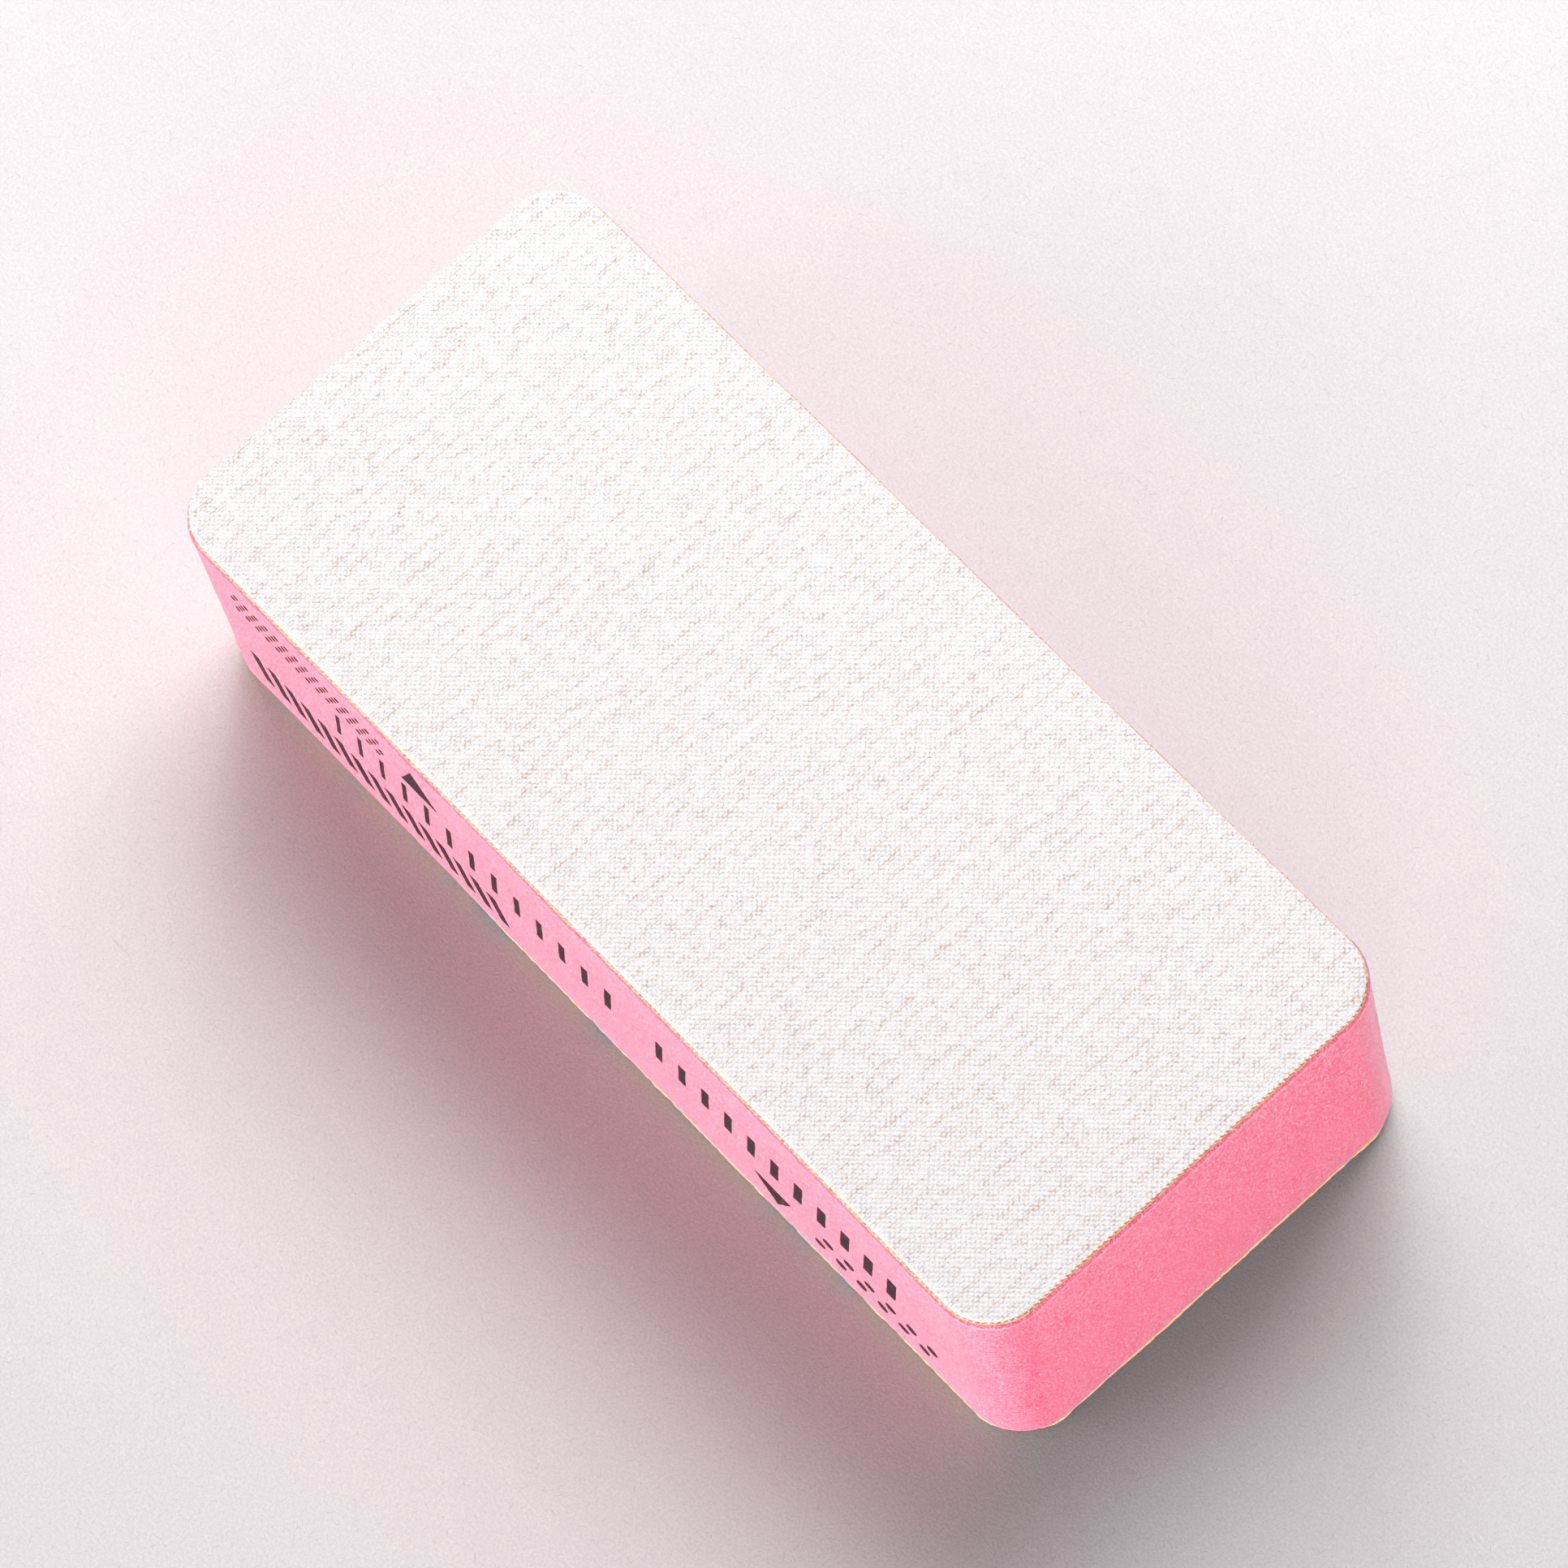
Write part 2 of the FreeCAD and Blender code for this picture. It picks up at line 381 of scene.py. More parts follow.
def ink_on_wall(name, marks):
    """Films of ink over the foam's wall, one for each mark."""
    vertices, faces = [], []
    for corners in marks:
        outline = ragged_outline(corners)
        low, high = np.min(outline, 0), np.max(outline, 0)
        spots = [
            (x, z)
            for x in np.arange(low[0] + spot_pitch / 2, high[0], spot_pitch)
            for z in np.arange(low[1] + spot_pitch / 2, high[1], spot_pitch)
            if inside((x, z), outline)
        ]
        flat = [Vector(point) for point in outline] + [Vector(spot) for spot in spots]
        edges = [(number, (number + 1) % len(outline)) for number in range(len(outline))]
        found, _, triangles, _, _, _ = geometry.delaunay_2d_cdt(flat, edges, [], 1, 1e-5)
        first, count = len(vertices), len(found)
        for lift in (ink_film, -ink_film):
            for x, z in found:
                start = Vector((x * MM, core_low.y - 5 * MM, z * MM))
                place = foam_surface.ray_cast(start, Vector((0, 1, 0)))[0]
                vertices.append((place.x, place.y - lift, place.z))
        faces += [tuple(first + corner for corner in t) for t in triangles]
        faces += [tuple(first + count + corner for corner in reversed(t)) for t in triangles]
        used = {}
        for t in triangles:
            for a, b in zip(t, t[1:] + t[:1]):
                used[a, b] = used.get((a, b), 0) + 1
        rim = [pair for pair in used if (pair[1], pair[0]) not in used]
        faces += [(first + b, first + a, first + count + a, first + count + b) for a, b in rim]
    mesh = bpy.data.meshes.new(name)
    mesh.from_pydata(vertices, [], faces)
    mesh.update()
    piece = bpy.data.objects.new(name, mesh)
    bpy.context.scene.collection.objects.link(piece)
    return piece


def ink_finish():
    """Matt black ink, broken by cells that it did not reach."""
    material, tree, shader = new_finish("printing_ink", 0.7, Specular_IOR_Level=0.3)
    place = add(tree, "ShaderNodeTexCoord").outputs["Object"]
    grain = add(tree, "ShaderNodeGroup", {"Place": place}, node_tree=cell_grain).outputs
    missed = between(tree, speckle(tree, place, 0.20 * MM, 3.0, 0.7), 0.60, 0.68)
    shade = tinted(tree, grain["Mottle"], colour(22, 15, 22), colour(44, 31, 38))
    shade = tinted(tree, maths(tree, "MULTIPLY", missed, 0.8), shade, colour(206, 100, 124))
    tree.links.new(shade, shader.inputs["Base Color"])
    bump = add(tree, "ShaderNodeBump", {"Height": grain["Height"], "Strength": 0.5, "Distance": 0.04 * MM})
    tree.links.new(bump.outputs[0], shader.inputs["Normal"])
    return material


scale_strokes = 24
strokes_before_gap = 13
bold_strokes = 15
scale_row = []
for number in range(scale_strokes):
    gap = 3.2 if number >= strokes_before_gap else 0.0
    width = 0.42 + 0.55 * number / (scale_strokes - 1)
    scale_row.append(bar(-29.0 + 2.55 * number + gap, 11.0, width, 4.9, 0.9))
printed_marks = {
    "print_finish_mark": [pointer(-18.0, 17.7, 4.0, 4.3)] + swatch(-38.8, 18.1, 15, 4, 1.16, 0.56),
    "print_scale_row": scale_row,
    "print_bold_row": [bar(-39.0 + 1.96 * number, 4.1, 0.95, 4.1, -0.9) for number in range(bold_strokes)],
    "print_rough_mark": [pointer(19.7, 7.0, 4.0, -3.5)[::-1]] + swatch(24.6, 4.7, 6, 2, 2.3, 1.15),
}
ink = ink_finish()
for node, marks in printed_marks.items():
    print_piece = ink_on_wall(node + "_ink", marks)
    print_piece.data.materials.append(ink)
    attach(print_piece, "root")
    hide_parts(node)


# ---- Bonding films ----
# Contact adhesive between each facing and the foam: an amber film a tenth of a millimetre thick,
# squeezed out a little at the cut edge so that it shows as a thin uneven line.

band_depth = 1.2 * MM
band_profile = ((0.0, 0.05), (0.25, 0.0), (0.6, 0.0), (1.0, 0.05))  # share of the height, tuck in mm
tooth_pitch = 0.516 * MM  # two yarns of the finishing cloth
draw_in = 0.26 * MM


def edge_band(name, node, proud, wander, seed, lopsided=False, teeth=0.0):
    """A bonded layer that shows only at its edge: a rounded, uneven rim closed over and under.

    A lopsided one draws in towards the block's -X end and towards its nearest corner. Teeth stand
    out at every second yarn, and the attribute "notch" is 1 in the gaps between them.
    """
    low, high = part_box(node)
    points, outward = die_line(0.104 * MM if teeth else 0.2 * MM)
    flat = ring(points, outward, 0, low.z)
    broad, narrow = unevenness(flat, 1.9 * MM, seed), unevenness(flat, 0.5 * MM, seed + 1)
    drift = wander * (0.5 * broad + 0.5 * narrow)
    if lopsided:
        long_side = np.clip((points[:, 0] + 24 * MM) / (10 * MM), 0, 1)
        short_side = np.clip((points[:, 1] + 17 * MM) / (10 * MM), 0.55, 1)
        turned = np.clip(-outward[:, 1], 0, 1)
        corner = 3.4 * outward[:, 0] ** 2 * outward[:, 1] ** 2
        drift -= draw_in * (1 - (turned * long_side + (1 - turned) * short_side) * (1 - corner))
    steps = np.linalg.norm(np.roll(points, -1, 0) - points, axis=1)
    wave = 0.5 - 0.5 * np.cos(2 * math.pi * np.cumsum(steps) / tooth_pitch)
    drift -= teeth * wave
    thick = high.z - low.z
    rings = [ring(points, outward, -band_depth, low.z)]
    for share, tuck in band_profile:
        reach = np.minimum(proud + drift, foot_proud) - tuck * MM
        rings.append(ring(points, outward, reach, low.z + thick * share))
    rings.append(ring(points, outward, -band_depth, high.z))
    piece = stack_of_rings(name, rings)
    notch = piece.data.attributes.new("notch", "FLOAT", "POINT")
    notch.data.foreach_set("value", np.append(np.tile(wave, len(rings)), [0.0, 0.0]))
    return piece


def adhesive_finish(name, thin, thick):
    """Cured adhesive: one colour where it is thin, and darker spots where it has gathered."""
    material, tree, shader = new_finish(name, 0.45, Subsurface_Weight=0.2, Subsurface_Scale=0.4 * MM)
    place = add(tree, "ShaderNodeTexCoord").outputs["Object"]
    gathered = between(tree, speckle(tree, place, 0.6 * MM, 3.0, 0.6), 0.45, 0.70)
    shade = tinted(tree, gathered, thin, thick)
    tree.links.new(shade, shader.inputs["Base Color"])
    grain = speckle(tree, place, 0.25 * MM)
    tree.links.new(between(tree, grain, 0.1, 1.4), shader.inputs["Roughness"])
    bump = add(tree, "ShaderNodeBump", {"Height": grain, "Strength": 0.4, "Distance": 0.04 * MM})
    tree.links.new(bump.outputs[0], shader.inputs["Normal"])
    return material


top_film = edge_band("top_adhesive_film", "top_adhesive", 0.07 * MM, 0.08 * MM, 11)
amber = adhesive_finish("amber_adhesive", colour(248, 194, 150), colour(216, 136, 98))
top_film.data.materials.append(amber)
bottom_film = edge_band("bottom_adhesive_film", "bottom_adhesive", 0.31 * MM, 0.06 * MM, 13, True)
orange = adhesive_finish("orange_adhesive", colour(232, 158, 86), colour(200, 116, 60))
bottom_film.data.materials.append(orange)
for film, node in ((top_film, "top_adhesive"), (bottom_film, "bottom_adhesive")):
    smooth(film)
    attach(film, "root")
    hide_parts(node)


# ---- Finishing cloth ----
# Fine plain-woven white cotton under the polishing coat. Only its cut edge shows: a band of filler,
# white above and tan below, with the ends of the yarns standing out of it at every second thread.

yarn_pitch = 0.258 * MM
yarn_radius = 0.095 * MM
yarn_sides = 6
yarn_profile = ((-0.16, 0.9), (0.05, 1.0), (0.13, 0.85), (0.17, 0.45))  # mm along, share of the radius
size_range = (0.75, 1.25)


def yarn_stub_mesh():
    """The cut end of one yarn: a short blunt rod along X with a rounded, frayed nose."""
    vertices = [
        (along * MM, share * yarn_radius * math.cos(turn), share * yarn_radius * math.sin(turn))
        for along, share in yarn_profile
        for turn in [2 * math.pi * number / yarn_sides for number in range(yarn_sides)]
    ]
    faces = []
    for first in range(0, len(vertices) - yarn_sides, yarn_sides):
        for side in range(yarn_sides):
            here, beside = first + side, first + (side + 1) % yarn_sides
            faces.append((here, beside, beside + yarn_sides, here + yarn_sides))
    faces.append(tuple(range(yarn_sides))[::-1])
    faces.append(tuple(range(len(vertices) - yarn_sides, len(vertices))))
    mesh = bpy.data.meshes.new("yarn_stub")
    mesh.from_pydata(vertices, [], faces)
    return mesh


def random_tilt(tree, most):
    """A random turn about each axis, up to most radians either way."""
    least = maths(tree, "MULTIPLY", most, -1.0)
    low = add(tree, "ShaderNodeCombineXYZ", {0: least, 1: least, 2: least}).outputs[0]
    high = add(tree, "ShaderNodeCombineXYZ", {0: most, 1: most, 2: most}).outputs[0]
    turn = add(tree, "FunctionNodeRandomValue", {0: low, 1: high, "Seed": 3}, data_type="FLOAT_VECTOR")
    return turn.outputs[0]


def pieces_along_edge(name, outline, unit, material, sizes):
    """Copies of a small unit along an outline, each turned outwards and varied in size and tilt.

    Built with Geometry Nodes, then kept as a plain mesh. The outline is a mesh of loose points that
    carry the way they face in the attribute "outward".
    """
    tree = bpy.data.node_groups.new(name + "_layout", "GeometryNodeTree")
    face = tree.interface
    face.new_socket("Geometry", in_out="INPUT", socket_type="NodeSocketGeometry")
    named = {}
    for label, value in sizes.items():
        socket = face.new_socket(label, in_out="INPUT", socket_type="NodeSocketFloat")
        socket.default_value = value
        named[label] = socket.identifier
    face.new_socket("Geometry", in_out="OUTPUT", socket_type="NodeSocketGeometry")
    entry = tree.nodes.new("NodeGroupInput")
    leave = tree.nodes.new("NodeGroupOutput")
    way = add(tree, "GeometryNodeInputNamedAttribute", {"Name": "outward"}, data_type="FLOAT_VECTOR")
    turned = add(tree, "FunctionNodeAlignEulerToVector", {"Vector": way.outputs[0]}, axis="X")
    tilt = random_tilt(tree, entry.outputs["Tilt"])
    tilted = add(tree, "FunctionNodeRotateEuler", {"Rotation": turned.outputs[0], "Rotate By": tilt},
                 space="LOCAL")
    size = add(tree, "FunctionNodeRandomValue", {"Seed": 5}, data_type="FLOAT")
    size.inputs[2].default_value, size.inputs[3].default_value = size_range
    unit_source = add(tree, "GeometryNodeObjectInfo", {"Object": unit})
    placed = add(tree, "GeometryNodeInstanceOnPoints", {
        "Points": entry.outputs[0], "Instance": unit_source.outputs["Geometry"],
        "Rotation": tilted.outputs[0], "Scale": size.outputs[1],
    })
    real = add(tree, "GeometryNodeRealizeInstances", {0: placed.outputs[0]})
    painted = add(tree, "GeometryNodeSetMaterial", {0: real.outputs[0], "Material": material})
    tree.links.new(painted.outputs[0], leave.inputs[0])
    layout = outline.modifiers.new("layout", "NODES")
    layout.node_group = tree
    for label, value in sizes.items():
        layout[named[label]] = value
    evaluated = outline.evaluated_get(bpy.context.evaluated_depsgraph_get())
    mesh = bpy.data.meshes.new_from_object(evaluated)
    mesh.name = name
    outline.modifiers.remove(layout)
    piece = bpy.data.objects.new(name, mesh)
    bpy.context.scene.collection.objects.link(piece)
    return piece


def outline_points(name, step, proud, height, jitter, seed):
    """Loose points round the block that carry the way they face, for small pieces to stand on."""
    points, outward = die_line(step)
    flat = ring(points, outward, proud, height)
    shift = Vector((seed, 0, 0))
    flat += jitter * np.array([noise.noise_vector(Vector(p) / (0.31 * MM) + shift) for p in flat])
    mesh = bpy.data.meshes.new(name)
    mesh.from_pydata(flat.tolist(), [], [])
    way = mesh.attributes.new("outward", "FLOAT_VECTOR", "POINT")
    way.data.foreach_set("vector", np.column_stack([outward, np.zeros(len(outward))]).ravel())
    holder = bpy.data.objects.new(name, mesh)
    bpy.context.scene.collection.objects.link(holder)
    return holder


def yarn_finish():
    """Cotton, near white at the top and tan low down where adhesive has soaked in."""
    material, tree, shader = new_finish("stained_yarn", 0.85, Sheen_Weight=0.3, Specular_IOR_Level=0.3)
    place = add(tree, "ShaderNodeTexCoord").outputs["Object"]
    level = add(tree, "ShaderNodeSeparateXYZ", {0: place}).outputs["Z"]
    creep = maths(tree, "MULTIPLY", speckle(tree, place, 0.9 * MM), 0.3 * MM)
    reach = maths(tree, "ADD", level, creep)
    stain = between(tree, reach, cloth_high.z + 0.10 * MM, cloth_low.z + 0.12 * MM)
    shade = tinted(tree, stain, colour(248, 236, 226), colour(238, 190, 152))
    twist = add(tree, "ShaderNodeMapping", {"Vector": place, "Rotation": (0.4, 0.5, 0.6)}).outputs[0]
    fibres = speckle(tree, twist, 0.05 * MM, 2.0)
    shade = tinted(tree, between(tree, fibres, 0.62, 0.40), shade, colour(222, 198, 176))
    tree.links.new(shade, shader.inputs["Base Color"])
    bump = add(tree, "ShaderNodeBump", {"Height": fibres, "Strength": 0.5, "Distance": 0.03 * MM})
    tree.links.new(bump.outputs[0], shader.inputs["Normal"])
    return material


def filler_finish():
    """The cloth's filled edge: white above, tan below, with brown notches between the yarns."""
    material, tree, shader = new_finish("cloth_filler", 0.8)
    place = add(tree, "ShaderNodeTexCoord").outputs["Object"]
    gap = add(tree, "ShaderNodeAttribute", attribute_name="notch").outputs["Fac"]
    gap = maths(tree, "ADD", gap, maths(tree, "SUBTRACT", speckle(tree, place, 0.5 * MM, 2.0, 0.6), 0.5))
    notch = between(tree, gap, 0.48, 0.74)
    level = add(tree, "ShaderNodeSeparateXYZ", {0: place}).outputs["Z"]
    upper = between(tree, level, cloth_low.z + 0.08 * MM, cloth_low.z + 0.22 * MM)
    base = tinted(tree, upper, colour(244, 206, 172), colour(248, 238, 232))
    coated = maths(tree, "MULTIPLY", maths(tree, "MULTIPLY", notch, upper), 0.45)
    shade = tinted(tree, maths(tree, "SUBTRACT", notch, coated), base, colour(158, 104, 80))
    tree.links.new(shade, shader.inputs["Base Color"])
    bump = add(tree, "ShaderNodeBump", {"Height": notch, "Strength": 0.6, "Distance": -0.05 * MM})
    tree.links.new(bump.outputs[0], shader.inputs["Normal"])
    return material


yarn = yarn_finish()
cloth = edge_band("top_cloth_edge", "top_cloth", -0.02 * MM, 0.05 * MM, 15, teeth=0.07 * MM)
smooth(cloth)
cloth.data.materials.append(filler_finish())
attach(cloth, "root")
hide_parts("top_cloth")

stub = bpy.data.objects.new("yarn_stub", yarn_stub_mesh())
yarn_line = outline_points("yarn_line", 2 * yarn_pitch, -0.10 * MM, cloth_high.z - 0.13 * MM, 0.05 * MM, 2)
yarn_ends = pieces_along_edge("top_cloth_yarn_ends", yarn_line, stub, yarn, {"Tilt": 0.22})
smooth(yarn_ends)
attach(yarn_ends, "root")
bpy.data.objects.remove(yarn_line)
bpy.data.objects.remove(stub)


# ---- Polishing coat ----
# A thin white mineral coat over the cloth. It takes up the weave and lies in shallow wavy ribs
# across the block, with tan filler showing in the creases between them and along the rim.

rib_pitch = 1.18 * MM
rib_depth = 0.024 * MM
coat_inset = 0.04 * MM


def face_grid(proud, step_x, rows):
    """Columns of points that fill the rounded outline, grown by proud. Shape: (columns, rows, 2)."""
    half_x = facing_half_length + proud
    half_y = facing_half_width + proud
    radius = facing_corner + proud
    run = half_x - radius
    straight = np.linspace(-run, run, round(2 * run / step_x) + 1)
    turns = np.linspace(0, math.pi / 2, 26)[1:]
    arc_x = run + radius * np.sin(turns)
    arc_y = half_y - radius + radius * np.cos(turns)
    x = np.concatenate([-arc_x[::-1], straight, arc_x])
    reach = np.concatenate([arc_y[::-1], np.full(len(straight), half_y), arc_y])
    share = np.linspace(-1, 1, rows)
    return np.stack([np.repeat(x[:, None], rows, 1), reach[:, None] * share[None]], -1)


def faced_slab(name, grid, surface, back, upwards):
    """A closed slab: a detailed face over a grid, an edge, and a plain hidden back."""
    columns, rows, _ = grid.shape
    flat = grid.reshape(-1, 2)
    vertices = np.column_stack([flat, surface]).tolist()
    index = np.arange(columns * rows).reshape(columns, rows)
    a, b, c, d = index[:-1, :-1], index[1:, :-1], index[1:, 1:], index[:-1, 1:]
    faces = np.stack([a, b, c, d], -1).reshape(-1, 4).tolist()
    loop = np.concatenate([index[:, 0], index[-1, 1:], index[-2::-1, -1], index[0, -2:0:-1]])
    first = len(vertices)
    vertices += [[*flat[number], back] for number in loop]
    vertices.append([0.0, 0.0, back])
    for number in range(len(loop)):
        beside = (number + 1) % len(loop)
        faces.append([loop[beside], loop[number], first + number, first + beside])
        faces.append([first + beside, first + number, len(vertices) - 1])
    if not upwards:
        faces = [face[::-1] for face in faces]
    mesh = bpy.data.meshes.new(name)
    mesh.from_pydata(vertices, [], [[int(corner) for corner in face] for face in faces])
    mesh.update()
    piece = bpy.data.objects.new(name, mesh)
    bpy.context.scene.collection.objects.link(piece)
    return piece


def crease_depth(places):
    """How deep the crease between two ribs is at each place, from 0 to 1."""
    drift = 2.6 * unevenness(places * [1, 0.8, 1], 2.4 * MM, 21) + 1.6 * unevenness(places, 0.8 * MM, 22)
    wave = np.cos(2 * math.pi * places[:, 0] / rib_pitch + drift)
    strength = np.clip(0.60 + 0.7 * unevenness(places * [1, 0.8, 1], 1.2 * MM, 23), 0, 1)
    return np.clip((wave - 0.35) / 0.65, 0, 1) ** 1.5 * strength


coat_low, coat_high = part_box("top_polish_coat")
coat_grid = face_grid(-coat_inset, 0.25 * MM, 132)
coat_places = np.column_stack([coat_grid.reshape(-1, 2), np.zeros(coat_grid.size // 2)])
creases = crease_depth(coat_places)
swell = 0.012 * MM * unevenness(coat_places, 6 * MM, 24) - 0.012 * MM
inset = np.minimum(
    facing_half_length - np.abs(coat_places[:, 0]), facing_half_width - np.abs(coat_places[:, 1])
)
edge_fall = 0.02 * MM * np.exp(-inset / (0.18 * MM))
coat_top = coat_high.z + swell - rib_depth * creases - edge_fall
coat = faced_slab("top_polish_coat_face", coat_grid, coat_top, coat_low.z - 0.10 * MM, True)
margin = np.clip(1 - inset / (0.30 * MM), 0, 1)
edge_and_back = np.ones(len(coat.data.vertices) - len(coat_places))
for field, face_values, hidden_value in (("margin", margin, 1.0), ("crease", creases, 0.0)):
    values = coat.data.attributes.new(field, "FLOAT", "POINT")
    values.data.foreach_set("value", np.append(face_values, hidden_value * edge_and_back))

# Plain weave: yarns go over and under each other, so crowns stand up in a chequer. The seams between
# neighbouring yarns along Y carry short dark dashes of painted shadow, more of them in the creases.
weave, weave_in, weave_out = new_effect(
    "plain_weave", {"Place": None, "Pitch": yarn_pitch, "Crease": 0.0}, ["Dash", "Stain", "Height"]
)
woven_place = weave_in.outputs["Place"]
wander_noise = {"Vector": woven_place, "Scale": 1 / (0.6 * MM), "Detail": 2.0}
wander = add(weave, "ShaderNodeTexNoise", wander_noise).outputs["Color"]
pulled = add(weave, "ShaderNodeVectorMath", {0: wander, 1: (0.5, 0.5, 0.5)}, operation="SUBTRACT")
pulled = add(weave, "ShaderNodeVectorMath", {0: pulled.outputs[0], "Scale": 0.20 * MM}, operation="SCALE")
shifted = add(weave, "ShaderNodeVectorMath", {0: woven_place, 1: pulled.outputs[0]}, operation="ADD")
parts = add(weave, "ShaderNodeSeparateXYZ", {0: shifted.outputs[0]})
turns_per_metre = maths(weave, "DIVIDE", math.pi, weave_in.outputs["Pitch"])
warp = maths(weave, "MULTIPLY", parts.outputs["X"], turns_per_metre)
weft = maths(weave, "MULTIPLY", parts.outputs["Y"], turns_per_metre)
chequer = maths(weave, "MULTIPLY", maths(weave, "SINE", warp), maths(weave, "SINE", weft))
seam = maths(weave, "COSINE", maths(weave, "MULTIPLY", warp, 2.0))
along_yarn = add(weave, "ShaderNodeMapping", {"Vector": woven_place, "Scale": (1.0, 0.75, 1.0)})
fleck = maths(weave, "SUBTRACT", speckle(weave, along_yarn.outputs[0], 0.11 * MM, 3.0, 0.8), 0.5)
patch = maths(weave, "SUBTRACT", speckle(weave, woven_place, 1.1 * MM, 2.0, 0.6), 0.5)
dark = maths(weave, "ADD", maths(weave, "MULTIPLY", seam, 0.20), maths(weave, "MULTIPLY", chequer, -0.38))
dark = maths(weave, "ADD", dark, maths(weave, "MULTIPLY", fleck, 2.6))
dark = maths(weave, "ADD", dark, maths(weave, "MULTIPLY", patch, 0.6))
dark = maths(weave, "ADD", dark, maths(weave, "MULTIPLY", weave_in.outputs["Crease"], 0.16))
relief = maths(weave, "ADD", chequer, maths(weave, "MULTIPLY", fleck, -2.4))
weave.links.new(between(weave, dark, 0.0, 0.85), weave_out.inputs["Dash"])
weave.links.new(between(weave, dark, -0.40, 0.50), weave_out.inputs["Stain"])
weave.links.new(relief, weave_out.inputs["Height"])


def polish_finish():
    """White mineral coat: clean crowns, a warm stain in the creases and at the rim, and painted shadow as
    dark dashes between the crowns.
    """
    material, tree, shader = new_finish("white_polish_coat", 0.8, Specular_IOR_Level=0.25)
    place = add(tree, "ShaderNodeTexCoord").outputs["Object"]
    crease = add(tree, "ShaderNodeAttribute", attribute_name="crease").outputs["Fac"]
    pattern = add(tree, "ShaderNodeGroup", {"Place": place, "Crease": crease}, node_tree=weave).outputs
    stained = maths(tree, "ADD", maths(tree, "MULTIPLY", crease, 0.6), 0.18)
    warm = maths(tree, "MULTIPLY", pattern["Stain"], stained)
    shade = tinted(tree, warm, colour(247, 245, 247), colour(228, 196, 178))
    deep = maths(tree, "MULTIPLY", crease, 0.9)
    # Painted shadow between the yarn crowns: grey dashes, warmer in the creases.
    seam_shade = tinted(tree, deep, colour(150, 134, 142), colour(174, 140, 128))
    shade = tinted(tree, maths(tree, "MULTIPLY", pattern["Dash"], 0.85), shade, seam_shade)
    margin = add(tree, "ShaderNodeAttribute", attribute_name="margin").outputs["Fac"]
    soak = maths(tree, "ADD", margin, maths(tree, "MULTIPLY", pattern["Stain"], 0.25))
    soaked = between(tree, soak, 0.62, 0.95)
    shade = tinted(tree, maths(tree, "MULTIPLY", soaked, 0.60), shade, colour(240, 196, 164))
    tree.links.new(shade, shader.inputs["Base Color"])
    depth = maths(tree, "SUBTRACT", pattern["Height"], maths(tree, "MULTIPLY", crease, 0.4))
    bump = add(tree, "ShaderNodeBump", {"Height": depth, "Strength": 1.0, "Distance": 0.024 * MM})
    tree.links.new(bump.outputs[0], shader.inputs["Normal"])
    return material


smooth(coat)
coat.data.materials.append(polish_finish())
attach(coat, "root")
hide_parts("top_polish_coat")


# ---- Rough side: backing ----
# A cream latex-filled backing sheet. Its cut edge is soft and a little torn, and grey-green resin
# has run over it here and there.


def backing_finish():
    """Cream sheet with peach fibres and smears of grey-green resin along its edge."""
    material, tree, shader = new_finish("cream_backing", 0.85)
    place = add(tree, "ShaderNodeTexCoord").outputs["Object"]
    fibres = speckle(tree, place, 0.3 * MM, 3.0, 0.65)
    shade = tinted(tree, between(tree, fibres, 0.36, 0.64), colour(224, 168, 118), colour(248, 210, 168))
    smear_place = add(tree, "ShaderNodeMapping", {"Vector": place, "Scale": (1.0, 1.0, 0.4)}).outputs[0]
    smear = between(tree, speckle(tree, smear_place, 3.0 * MM, 2.0, 0.6), 0.575, 0.62)
    shade = tinted(tree, maths(tree, "MULTIPLY", smear, 0.85), shade, colour(150, 172, 180))
    tree.links.new(shade, shader.inputs["Base Color"])
    bump = add(tree, "ShaderNodeBump", {"Height": fibres, "Strength": 0.5, "Distance": 0.06 * MM})
    tree.links.new(bump.outputs[0], shader.inputs["Normal"])
    return material


backing = edge_band("bottom_backing_edge", "bottom_backing", 0.34 * MM, 0.12 * MM, 31, True)
smooth(backing)
backing.data.materials.append(backing_finish())
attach(backing, "root")
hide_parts("bottom_backing")


# ---- Rough side: resin and grit ----
# Dark grey-green resin holds coarse mineral grains on the backing. The grains stand close together
# and sharp, and the outermost ones make the block's lower edge ragged.

grit_size = 0.42 * MM


def resin_finish():
    """Dark glossy resin between the grains."""
    material, tree, shader = new_finish("dark_resin", 0.4)
    place = add(tree, "ShaderNodeTexCoord").outputs["Object"]
    flow = speckle(tree, place, 0.5 * MM, 3.0, 0.6)
    shade = tinted(tree, between(tree, flow, 0.35, 0.65), colour(66, 74, 76), colour(98, 108, 106))
    tree.links.new(shade, shader.inputs["Base Color"])
    bump = add(tree, "ShaderNodeBump", {"Height": flow, "Strength": 0.5, "Distance": 0.05 * MM})
    tree.links.new(bump.outputs[0], shader.inputs["Normal"])
    return material


